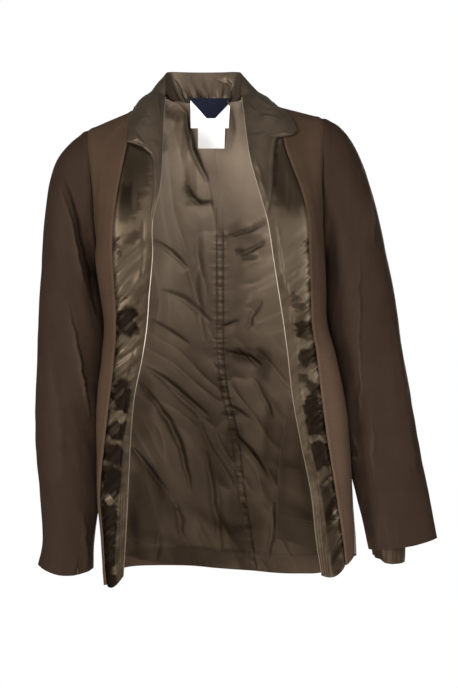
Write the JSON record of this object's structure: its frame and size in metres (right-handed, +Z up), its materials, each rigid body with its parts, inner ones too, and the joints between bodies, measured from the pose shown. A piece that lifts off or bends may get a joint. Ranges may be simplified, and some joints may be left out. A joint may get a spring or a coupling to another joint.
{
  "type": "blazer",
  "caption": "Open lined blazer in worn form, brown cloth with full-length puckered satin front bands, soft satin collar, two-piece sleeves and a side vent.",
  "frame": {"origin": "in the empty neck, on the height of the shoulders, between the two shoulder seams", "axes": "+Z up, from the hem to the collar; +Y to the back of the garment, so its open front faces -Y; +X to the wearer's left"},
  "size_m": [0.5676, 0.2086, 0.7307],
  "materials": {
    "shell": "fine horizontally ribbed brown cloth, low sheen",
    "satin": "olive satin, strong soft sheen, puckered at the seam",
    "lining": "olive satin lining, creased, medium sheen",
    "label_navy": "woven navy tape, bare",
    "label_white": "white woven tape, bare"
  },
  "bodies": {
    "root": {"front_left": "shell", "front_right": "shell", "back_left": "shell", "back_right": "shell", "top_sleeve_left": "shell", "top_sleeve_right": "shell", "under_sleeve_left": "shell", "under_sleeve_right": "shell", "band_left": "satin", "band_right": "satin", "collar_fall": "satin", "collar_stand": "satin", "lining_back_left": "lining", "lining_back_right": "lining", "lining_front_left": "lining", "lining_front_right": "lining", "sleeve_lining_right": "lining", "label_neck": "label_navy", "label_care": "label_white"}
  },
  "joints": []
}
